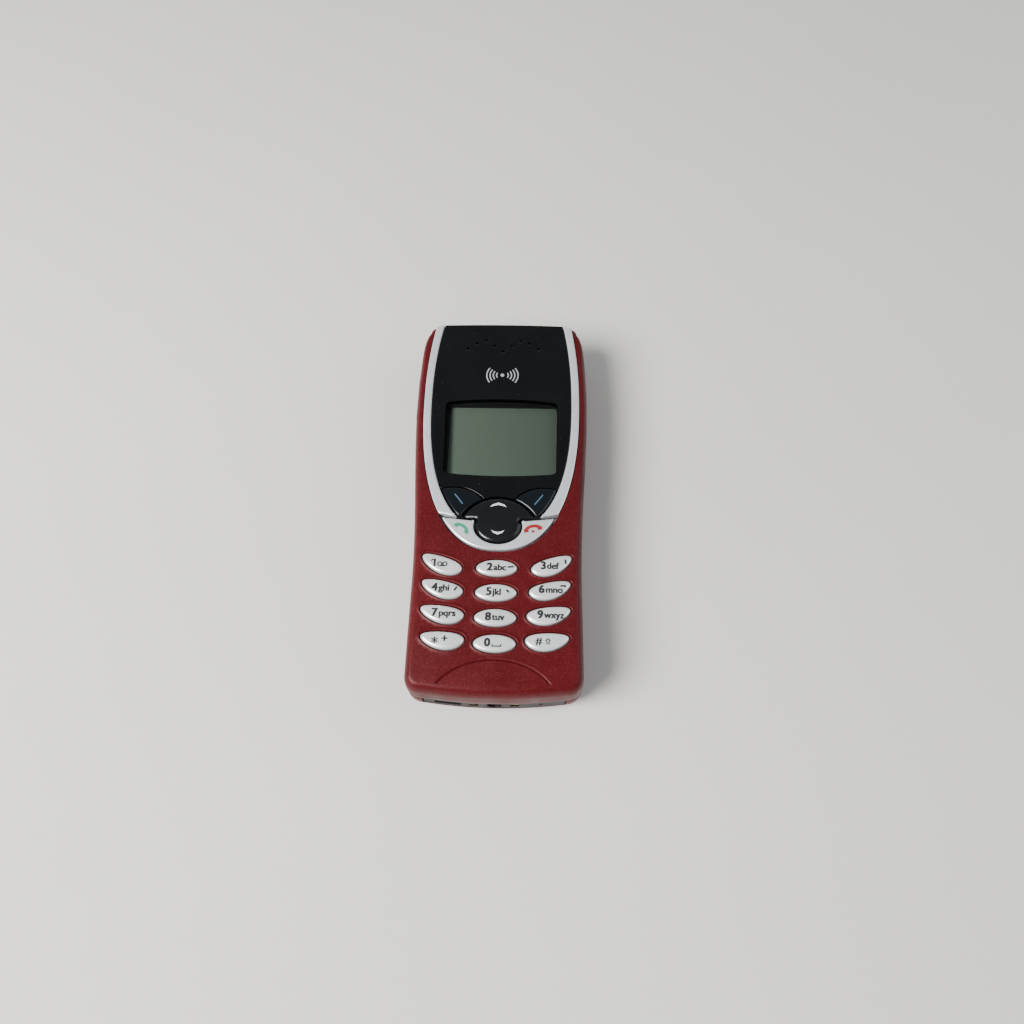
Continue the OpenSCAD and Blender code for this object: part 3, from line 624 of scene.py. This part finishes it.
def build_window():
    p, view = window_outline(), view_outline()
    ear = [ring_at(s * x, y, EAR_R) for x, y in EAR for s in ((1, -1) if x else (1,))]
    holes = [[(offset(c, 0.05), face(0.1)), (offset(c, 0.015), face(0.085)), (c, face(0.04)),
              (c, face(LENS_BOTTOM))] for c in ear]
    rim = rounded(lambda g: offset(p, -g), 0.18, 0.13, face(0.1)) + [(p, face(LENS_BOTTOM))]
    o = shell("window_pane", [rim] + holes, step=1.1, lines=[view])
    dress(o, BLACK, "phone", ["window_lens"])
    o.data.materials.append(CLEAR)
    o.data.materials.append(CLEAR_BELOW)
    mids = np.array([tuple(q.center)[:2] for q in o.data.polygons]) / MM
    for q, seen in zip(o.data.polygons, inside(mids, [view])):
        if seen:
            q.material_index = 1 if q.normal.z > 0 else 2
    # a generic mark of arcs round a dot, where the real phone has a name
    mark_y = 33.2
    rays = [stroke(arc(s * 0.35, mark_y, r, middle - 38, middle + 38, 14), 0.32)
            for s, middle in ((1, 0), (-1, 180)) for r in (1.2, 2.05, 2.9, 3.75)]
    decal("signal_mark", [ring_at(0, mark_y, 0.5)] + rays, face(0.1), INK_GREY, "phone", 0.02)
    # the print behind the window, and the well down to the display
    print_top, print_bottom = face(LENS_BOTTOM - 0.02), face(-1.5)
    well = [(view, print_top), (view, 13.9), (offset(view, 0.5), 13.9), (offset(view, 0.5), print_bottom)]
    back = [(offset(p, -0.4), print_top), (offset(p, -0.4), print_bottom)]
    w = shell("window_print", [back, well] + [[(c, print_top), (c, print_bottom)] for c in ear], step=1.6)
    dress(w, PRINT, "phone", ["window_mask"])


def build_trim(sign, name):
    edge = 0.12                         # how far the strip stays inside the body's outline
    head = body_outline(edge)
    head = head[(head[:, 0] > 17) & (head[:, 1] > 0)]

    def held_in(x, y):
        """The point moved inside the body's rounded head corner."""
        return (min(x, half_at(head, y)) if y > WIDE_Y else x, min(y, HALF - edge - x * x / HEAD_CURVE))

    end = [(18.4, y) for y in np.linspace(HALF - 1.5, float(head[-1][1]), 12)]
    outer = [held_in(x, y) for x, y in opening_side(-0.06, HALF - 1.6) + end if y > TRIM_OUT_Y]
    inner = [q for q in window_side(0.02, HALF - 0.08) if q[1] > TRIM_IN_Y]
    xo, xi = half_at(opening_side(-0.06), TRIM_OUT_Y), half_at(window_side(0.02), TRIM_IN_Y)
    p = np.array([(xo, TRIM_OUT_Y)] + outer + inner[::-1] + [(xi, TRIM_IN_Y)])
    p = resample(p, 0.55)
    p[:, 0] *= sign
    p = counterclockwise(p)
    rings = rounded(lambda g: offset(p, -g), 0.5, 0.26, face(0.3)) + [(p, face(-1.5))]
    o = shell(name + "_strip", [rings], step=0.6)
    return dress(o, SILVER, "phone", [name])


def scan(left, right, y0, y1, n):
    """Outline of a region given by its left and right limits at each height."""
    ys = y0 + (y1 - y0) * np.sin(np.linspace(0, math.pi / 2, n))
    up = [(right(y), y) for y in ys]
    down = [(left(y), y) for y in ys[::-1]]
    return resample(np.array(up + down[1:]), 0.4)


def build_soft(sign, name):
    side = window_side(-0.45)

    def left(y):
        scroll = math.sqrt(max(0, (SCROLL_R + SCROLL_GAP) ** 2 - (y - SCROLL_Y) ** 2)) if y > SCROLL_Y else 0
        return max(scroll, SOFT_X - math.sqrt(max(0, SOFT_R ** 2 - (y - SOFT_Y) ** 2)))

    def right(y):
        return min(half_at(side, y), SOFT_X + math.sqrt(max(0, SOFT_R ** 2 - (y - SOFT_Y) ** 2)))

    p = scan(left, right, -8.28, SOFT_Y + SOFT_R - 0.01, 40)
    p[:, 0] *= sign
    p = counterclockwise(p)

    def top(x, y):
        """The key's top leans up to the outside and to the head."""
        return crown(x, y) + 0.05 + 0.012 * (np.abs(x) - 6.5) + 0.014 * (y + 8)

    rings = rounded(lambda g: offset(p, -g), 0.55, 0.4, top) + [(p, KEY_BASE)]
    o = shell(name + "_cap", [rings], step=0.7)
    dress(o, SMOKE, name, [name])
    dash = np.array([(-10.75, -2.15), (-10.53, -2.0), (-8.53, -4.65), (-8.75, -4.8)]) * (-sign, 1)
    decal(name + "_mark", [dash], top, INK_BLUE, name, 0.012)


def build_scroll():
    # the right half: the lower lobe, the neck, the wing's lower edge and the big arc
    half = [((LOBE_A - LOBE_GAP) * math.cos(t), LOBE_Y + (LOBE_B - LOBE_GAP) * math.sin(t))
            for t in np.radians(np.linspace(-90, 8, 26))]
    half += [(5.05, -9.45), (4.98, -9.15), (5.1, -8.85), (5.35, -8.66), (6.2, -8.58), (7.3, -8.5),
             (8.2, -8.42), (8.58, -8.28)]
    wing_angle = math.degrees(math.asin(4.95 / 10.02))
    half += arc(0, SCROLL_Y, SCROLL_R - 0.05, wing_angle, 90, 30)
    p = resample(mirrored([(max(0.0, x), y) for x, y in half]), 0.35)

    def top(x, y):
        d = np.asarray(x) ** 2 + (np.asarray(y) + 9.0) ** 2
        dish = 0.16 * np.exp(-(np.asarray(x) ** 2 / 12 + (np.asarray(y) + 8.9) ** 2 / 3.5))
        return 17.34 - d / 62 - dish

    rings = rounded(lambda g: offset(p, -g), 0.8, 0.75, top) + [(p, KEY_BASE)]
    o = shell("scroll_key_cap", [rings], step=0.6)
    dress(o, ROCKER, "scroll_key", ["scroll_key"])
    up = [(-1.95, -5.75), (-1.45, -5.05), (0, -4.5), (1.45, -5.05), (1.95, -5.75), (1.3, -5.5), (0, -5.15),
          (-1.3, -5.5)]
    down = [(-1.6, -11.75), (-1.1, -12.1), (0, -12.35), (1.1, -12.1), (1.6, -11.75), (1.1, -12.5),
            (0, -12.95), (-1.1, -12.5)]
    decal("scroll_marks", [up, down], top, INK_WHITE, "scroll_key", 0.015)


def stroke(points, width):
    """A line of the given width as an outline."""
    p = np.array(points, float)
    d = np.gradient(p, axis=0)
    d /= np.linalg.norm(d, axis=1)[:, None]
    n = np.stack([-d[:, 1], d[:, 0]], 1) * width / 2
    return np.concatenate([p + n, (p - n)[::-1]])


def handset(cx, cy, turn, size):
    """A telephone receiver as an outline, turned by so many degrees."""
    t = np.radians(np.linspace(155, 25, 15))
    arch = np.stack([1.85 * np.cos(t), 1.0 * np.sin(t) - 0.2], 1)
    inner = np.stack([0.95 * np.cos(t[2:-2]), 0.3 * np.sin(t[2:-2]) - 0.25], 1)[::-1]
    p = np.concatenate([arch, [(2.1, -0.1), (2.05, -0.8), (1.1, -0.8), (1.0, -0.25)], inner,
                        [(-1.0, -0.25), (-1.1, -0.8), (-2.05, -0.8), (-2.1, -0.1)]]) * size
    a = math.radians(turn)
    r = np.array([[math.cos(a), -math.sin(a)], [math.sin(a), math.cos(a)]])
    return p @ r.T + (cx, cy)


def build_call_end():
    notch = [(LOBE_A * math.cos(t), LOBE_Y + LOBE_B * math.sin(t))
             for t in np.radians(np.linspace(166, 374, 60))]
    side = [q for q in opening_side(-0.3) if q[1] < CALL_TOP_Y]
    xo = half_at(opening_side(-0.3), CALL_TOP_Y)
    right = [(5.6, -9.22), (9.7, -8.78), (xo - 0.02, CALL_TOP_Y)]
    left = [(-x, y) for x, y in side[1:] + right[::-1]]
    p = resample(counterclockwise(np.array(notch + right + side[::-1] + left)), 0.4)
    top = face(0.34)
    rings = rounded(lambda g: offset(p, -g), 0.5, 0.42, top) + [(p, KEY_BASE)]
    o = shell("call_end_cap", [rings], step=0.6)
    dress(o, SILVER, "call_end_key", ["call_end_key"])
    decal("call_mark", [handset(-8.4, -11.1, -36, 0.98)], top, INK_GREEN, "call_end_key", 0.035)
    dot = rect(7.95, -12.2, 8.7, -11.65)
    decal("end_mark", [handset(8.2, -11.0, 14, 1.06), dot], top, INK_RED, "call_end_key", 0.035)


def key_top(r, c):
    """The domed top of a number key."""
    cx, cy = key_centre(r, c)
    peak = float(crown(cx, cy)) + 0.52
    return lambda x, y: peak - ((np.asarray(x) - cx) ** 2 / 62 + (np.asarray(y) - cy) ** 2 / 34)


def build_keys():
    for r in range(4):
        for c in range(3):
            name = KEYS[r][c]
            rings = rounded(lambda g: number_key(r, c, -g), 0.75, 0.55, key_top(r, c))
            flange = number_key(r, c, 0.7)
            rings += [(number_key(r, c, 0), 14.5), (flange, 14.45), (flange, KEY_BASE)]
            o = shell(name + "_cap", [rings], step=0.75, sharp=40)
            dress(o, KEYCAP, name, [name])


# ------------------------------------------------------------ printed marks

def glyphs(text, size, x, y, bold):
    """Flat letter meshes in millimetres, as copies laid bold apart: a list of (vertices, faces)."""
    cu = bpy.data.curves.new("glyph", "FONT")
    cu.body, cu.size, cu.align_y = text, size, "BOTTOM_BASELINE"
    cu.resolution_u = 4
    o = bpy.data.objects.new("glyph", cu)
    bpy.context.scene.collection.objects.link(o)
    dg = bpy.context.evaluated_depsgraph_get()
    me = bpy.data.meshes.new_from_object(o.evaluated_get(dg))
    v = np.array([tuple(q.co)[:2] for q in me.vertices])
    f = [tuple(q.vertices) for q in me.polygons]
    bpy.data.objects.remove(o, do_unlink=True)
    bpy.data.curves.remove(cu)
    bpy.data.meshes.remove(me)
    return [(v + (x + i * bold, y + j * bold * 0.6), f) for i in (-1, 0, 1) for j in (-1, 0, 1)]


def decal(name, outlines, top, m, body, lift=0.015, text=()):
    """Ink that lies lift above a surface: outlines are filled, text is glyph meshes."""
    bm = bmesh.new()
    parts = [fill([resample(counterclockwise(np.array(p, float)), 0.25)], 50.0) for p in outlines]
    for k, (v, f) in enumerate(parts + list(text)):
        # each part lies a little higher than the last, so that no two share a plane
        z = z_of(lambda x, y: top(x, y) + lift + k * 0.0004, v)
        made = [bm.verts.new((a * MM, b * MM, h * MM)) for (a, b), h in zip(v, z)]
        for t in f:
            try:
                bm.faces.new([made[i] for i in t])
            except ValueError:          # a glyph lists a face twice
                pass
    for q in bm.faces:
        q.normal_update()
        if q.normal.z < 0:
            q.normal_flip()
    me = bpy.data.meshes.new(name)
    bm.to_mesh(me)
    bm.free()
    o = finish_mesh(name, me)
    return dress(o, m, body)


# each key's digit and letters
LEGENDS = {"key_1": ("1", ""), "key_2": ("2", "abc"), "key_3": ("3", "def"), "key_4": ("4", "ghi"),
           "key_5": ("5", "jkl"), "key_6": ("6", "mno"), "key_7": ("7", "pqrs"), "key_8": ("8", "tuv"),
           "key_9": ("9", "wxyz"), "key_star": ("*", "+"), "key_0": ("0", ""), "key_hash": ("#", "")}
# the small stroke marks, from the key's centre
TICKS = {"key_2": [(2.5, 0.05), (3.9, 0.25)], "key_3": [(2.95, 1.15), (3.25, 1.05), (3.2, 0.3), (3.45, 0.25)],
         "key_4": [(3.3, 0.15), (2.75, -0.75)], "key_5": [(2.35, 0.5), (2.95, -0.1)],
         "key_6": [(2.35, 0.7), (3.6, 0.8), (3.4, 0.45)]}


def symbol(name, x, y, right):
    """The signs drawn as strokes: x, y is the digit's lower left corner and right is where it ends."""
    thin = 0.28
    if name == "key_1":                 # the digit's flag, and two loops on a line
        loops = [stroke(arc(right + k, y + 0.55, 0.47, -80, 262, 20), thin) for k in (0.95, 2.15)]
        return [stroke([(x - 0.2, y + 1.36), (x + 0.3, y + 1.72)], 0.3)] + loops + [
            stroke([(right + 0.95, y + 0.08), (right + 2.15, y + 0.08)], thin)]
    if name == "key_0":                 # a space bar
        a, b = right + 0.4, right + 2.3
        return [stroke([(a, y + 0.45), (a, y - 0.05)], thin), stroke([(a, y), (b, y)], thin),
                stroke([(b, y + 0.45), (b, y - 0.05)], thin)]
    if name == "key_hash":              # an outlined arrow
        arrow = [(0, 1.35), (-0.55, 0.75), (-0.24, 0.75), (-0.24, 0.1), (0.24, 0.1), (0.24, 0.75),
                 (0.55, 0.75), (0, 1.35)]
        return [stroke([(right + 1.25 + u, y + v) for u, v in arrow], 0.27)]
    return []


def build_legends():
    digit_x = (2.35, 2.25, 2.55)        # how far left of the key's centre the digit starts, by column
    digit_y = (0.86, 0.78, 1.0)         # and how far below it
    for r in range(4):
        for c in range(3):
            name = KEYS[r][c]
            big, small = LEGENDS[name]
            cx, cy = key_centre(r, c)
            x, y = cx - digit_x[c], cy - (1.18 if name == "key_3" else digit_y[c])
            size = {"*": 3.4, "#": 2.4}.get(big, 2.6)
            star_drop = 1.25 if big == "*" else 0
            text = glyphs(big, size, x, y - star_drop, 0.06 if big in "*#" else 0.125)
            right = text[-1][0][:, 0].max()
            if small:
                letter_size, space = (2.5, 0.75) if small == "+" else (2.15, 0.2)
                text += glyphs(small, letter_size, right + space, y + 0.02, 0.08)
            lines = symbol(name, x, y, right)
            if name in TICKS:
                lines.append(stroke([(cx + a, cy + b) for a, b in TICKS[name]], 0.4))
            decal(name + "_legend", lines, key_top(r, c), INK, name, 0.055, text)


# ------------------------------------------------------------ the nodes kept from the CAD

CAD_LOOKS = {
    "mat_rubber": dict(color=(0.48, 0.50, 0.52), rough=0.7, spread=0.08, grain=0.3),
    "dome_film": dict(color=(0.62, 0.58, 0.45), rough=0.4, spread=0.06, grain=0.15),
    "black_rubber": dict(color=(0.012, 0.012, 0.013), rough=0.55, spread=0.2, grain=0.4),
    "dark_window": dict(color=(0.014, 0.005, 0.007), rough=0.12, coat=0.8, spread=0.2, scratch=0.3),
    "carrier_metal": dict(color=(0.55, 0.56, 0.58), rough=0.35, metal=0.9, spread=0.06, brushed=(1, 0.05, 1)),
    "black_plastic": dict(color=(0.015, 0.015, 0.016), rough=0.5, spread=0.15, grain=0.35),
    "light_guide": dict(color=(0.75, 0.80, 0.76), rough=0.3, spread=0.04, coat=0.4, grain=0.1),
    "board": dict(color=(0.015, 0.10, 0.045), rough=0.32, coat=0.5, spread=0.35, spread_scale=500, grain=0.2),
    "shield_metal": dict(color=(0.58, 0.58, 0.57), rough=0.3, metal=1.0, spread=0.08, brushed=(0.05, 1, 1)),
    "weight_metal": dict(color=(0.30, 0.29, 0.27), rough=0.45, metal=1.0, spread=0.15, grain=0.5),
    "contact_gold": dict(color=(0.80, 0.56, 0.22), rough=0.25, metal=1.0, spread=0.06, scratch=0.4),
    "frame_plastic": dict(color=(0.022, 0.023, 0.025), rough=0.5, spread=0.15, grain=0.5, grain_scale=1800),
    "screw_steel": dict(color=(0.16, 0.16, 0.17), rough=0.35, metal=1.0, spread=0.15, scratch=0.3),
    "battery_wrap": dict(color=(0.55, 0.56, 0.58), rough=0.35, spread=0.05, coat=0.3, grain=0.1),
    "card_plastic": dict(color=(0.75, 0.75, 0.72), rough=0.4, spread=0.04, grain=0.15),
    # connector_plastic: black plastic, made darker than the other black plastics as painted shade over the
    # connector at the foot
    "connector_plastic": dict(color=(0.004, 0.004, 0.0045), rough=0.5, spec=0.25, spread=0.2, grain=0.4,
                              scratch=0.3),
}
# width of the rounded edges that the visible CAD nodes get, in millimetres
CAD_EDGES = {"battery": 0.6, "volume_key": 0.3, "power_key": 0.3, "cover_catch": 0.15,
             "bottom_connector": 0.15, "infrared_window": 0.15}


def dress_nodes():
    made = {"lcd_glass": LCD, "red_key": RED_SATIN, "red_catch": RED_SATIN}
    for slot, look in CAD_LOOKS.items():
        made[slot] = material(slot, **look)
    slots = {s["node"]: s["material_slot"] for s in frame["record"]["subparts"]}
    for node, o in frame["nodes"].items():
        m = made.get(slots.get(node))
        if m is None:
            continue
        if not o.material_slots:
            o.data.materials.append(m)
        for slot in o.material_slots:
            slot.material = m
        if node in CAD_EDGES:
            b = o.modifiers.new("edges", "BEVEL")
            b.width = CAD_EDGES[node] * MM
            b.segments = 3
            b.limit_method = "ANGLE"
            b.angle_limit = math.radians(40)


# ------------------------------------------------------------ stage

def build_stage():
    """A pale floor that curves up behind the phone."""
    bm = bmesh.new()
    rows = []
    for y, z in [(-900, 0), (-300, 0), (300, 0), (700, 0), (850, 20), (950, 80), (1000, 200), (1010, 700)]:
        rows.append([bm.verts.new((x * MM, y * MM, z * MM)) for x in np.linspace(-1000, 1000, 9)])
    for a, b in zip(rows, rows[1:]):
        for i in range(len(a) - 1):
            bm.faces.new((a[i], a[i + 1], b[i + 1], b[i]))
    me = bpy.data.meshes.new("floor")
    bm.to_mesh(me)
    bm.free()
    o = finish_mesh("floor", me)
    o.data.materials.append(material("floor_paper", (0.68, 0.67, 0.64), rough=0.85, spread=0.015,
                                     spread_scale=9, grain=0.2, grain_scale=900))


def area_light(name, pos, target, size, power, color):
    data = bpy.data.lights.new(name, "AREA")
    data.shape, data.size, data.energy, data.color = "DISK", size, power, color
    o = bpy.data.objects.new(name, data)
    o.location = pos
    o.rotation_euler = (Vector(target) - Vector(pos)).to_track_quat("-Z", "Y").to_euler()
    bpy.context.scene.collection.objects.link(o)


def build_lights():
    world = bpy.data.worlds.new("studio")
    bpy.context.scene.world = world
    world.use_nodes = True
    sky = world.node_tree.nodes["Background"]
    sky.inputs["Color"].default_value = (0.93, 0.96, 1.0, 1)
    sky.inputs["Strength"].default_value = 0.33
    middle = (0, 0, 0.01)
    area_light("key", (-0.46, -0.24, 0.52), middle, 0.42, 13.0, (1.0, 0.985, 0.96))
    area_light("fill", (0.62, 0.05, 0.42), middle, 0.7, 2.0, (0.93, 0.96, 1.0))


def build_camera():
    """The camera that was fitted to the photo's outline, window and keys."""
    focal_px, image_px, distance = 769, 1024, 193.097
    az, el, roll = math.radians(1.818), math.radians(63.435), math.radians(-0.818)
    target = Vector((3.127, -2.460, 8.0)) * MM
    back = Vector((math.sin(az) * math.cos(el), -math.cos(az) * math.cos(el), math.sin(el)))
    right = (-back).cross(Vector((0, 0, 1))).normalized()
    up = right.cross(-back)
    r = right * math.cos(roll) + up * math.sin(roll)
    u = -right * math.sin(roll) + up * math.cos(roll)
    data = bpy.data.cameras.new("camera")
    data.sensor_width, data.lens = 36.0, 36.0 * focal_px / image_px
    data.clip_start, data.clip_end = 0.01, 20
    o = bpy.data.objects.new("camera", data)
    m = Matrix((r, u, back)).transposed().to_4x4()
    m.translation = target + back * distance * MM
    o.matrix_world = m
    bpy.context.scene.collection.objects.link(o)
    bpy.context.scene.camera = o


build_camera()
build_stage()
build_lights()
build_front()
build_back()
build_window()
build_trim(-1, "left_trim")
build_trim(1, "right_trim")
build_soft(-1, "left_soft_key")
build_soft(1, "right_soft_key")
build_scroll()
build_call_end()
build_keys()
build_legends()
dress_nodes()
